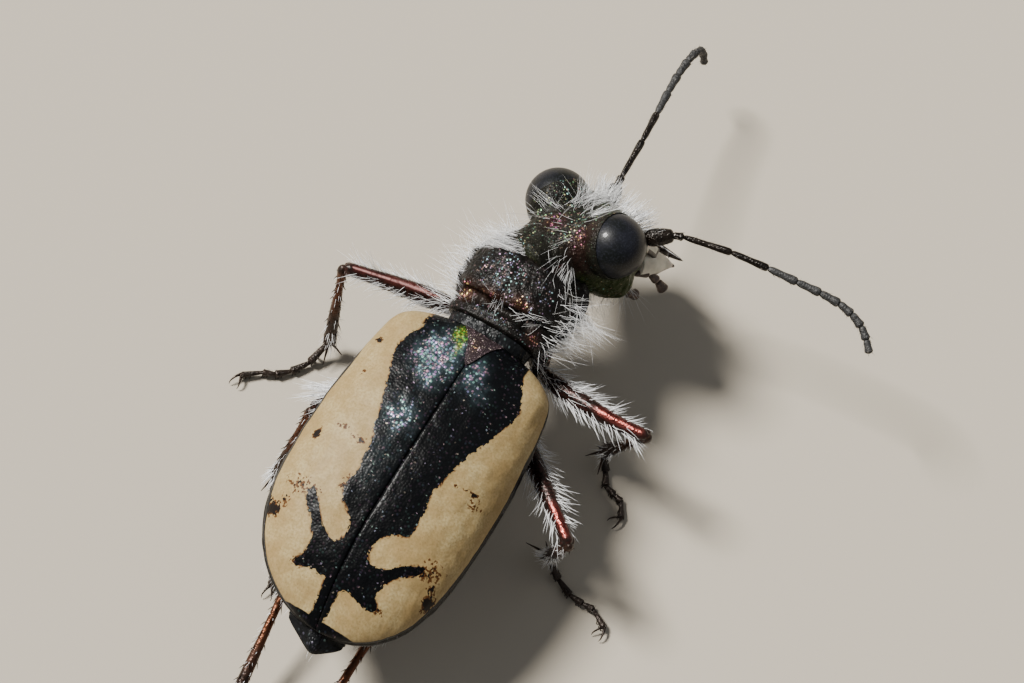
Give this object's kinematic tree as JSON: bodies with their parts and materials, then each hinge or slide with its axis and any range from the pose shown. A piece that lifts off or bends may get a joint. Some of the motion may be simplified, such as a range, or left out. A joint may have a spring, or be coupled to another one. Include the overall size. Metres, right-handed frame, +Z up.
{
  "type": "tiger beetle",
  "caption": "Still, life-size tiger beetle: cream and black wing cases, bronze thorax, big dark eyes, sickle jaws, bead-chain feelers and six slender legs.",
  "frame": {"origin": "centre of the bounding box in plan, on the floor the beetle stands on", "axes": "+Z up, -Y the way the beetle faces, +X the beetle's left"},
  "size_m": [0.0188, 0.0333, 0.0073],
  "materials": {
    "wing_case": "chitin, cream with black bands, finely granular",
    "dark_shell": "chitin, black with a blue-green metallic sheen",
    "bronze_shell": "chitin, coppery bronze, sculpted, with white bristles",
    "leg_copper": "chitin, coppery red metallic sheen, with white bristles",
    "eye": "glossy dark compound eye",
    "mouth_ivory": "ivory chitin with dark edges",
    "feeler": "dark bronze-brown chitin, satin"
  },
  "bodies": {
    "root": {"elytron_left": "wing_case", "elytron_right": "wing_case", "scutellum": "dark_shell", "pterothorax": "bronze_shell", "abdomen": "dark_shell", "prothorax": "bronze_shell", "head": "bronze_shell", "eye_left": "eye", "eye_right": "eye", "labrum": "mouth_ivory", "mandible_left": "mouth_ivory", "mandible_right": "mouth_ivory", "maxillary_palp_left": "feeler", "maxillary_palp_right": "feeler", "labial_palp_left": "feeler", "labial_palp_right": "feeler", "antenna_left": "feeler", "antenna_right": "feeler", "front_left_coxa": "bronze_shell", "front_left_femur": "leg_copper", "front_left_tibia": "leg_copper", "front_left_tarsus": "feeler", "front_right_coxa": "bronze_shell", "front_right_femur": "leg_copper", "front_right_tibia": "leg_copper", "front_right_tarsus": "feeler", "middle_left_coxa": "bronze_shell", "middle_left_femur": "leg_copper", "middle_left_tibia": "leg_copper", "middle_left_tarsus": "feeler", "middle_right_coxa": "bronze_shell", "middle_right_femur": "leg_copper", "middle_right_tibia": "leg_copper", "middle_right_tarsus": "feeler", "hind_left_coxa": "bronze_shell", "hind_left_femur": "leg_copper", "hind_left_tibia": "leg_copper", "hind_left_tarsus": "feeler", "hind_right_coxa": "bronze_shell", "hind_right_femur": "leg_copper", "hind_right_tibia": "leg_copper", "hind_right_tarsus": "feeler"}
  },
  "joints": []
}
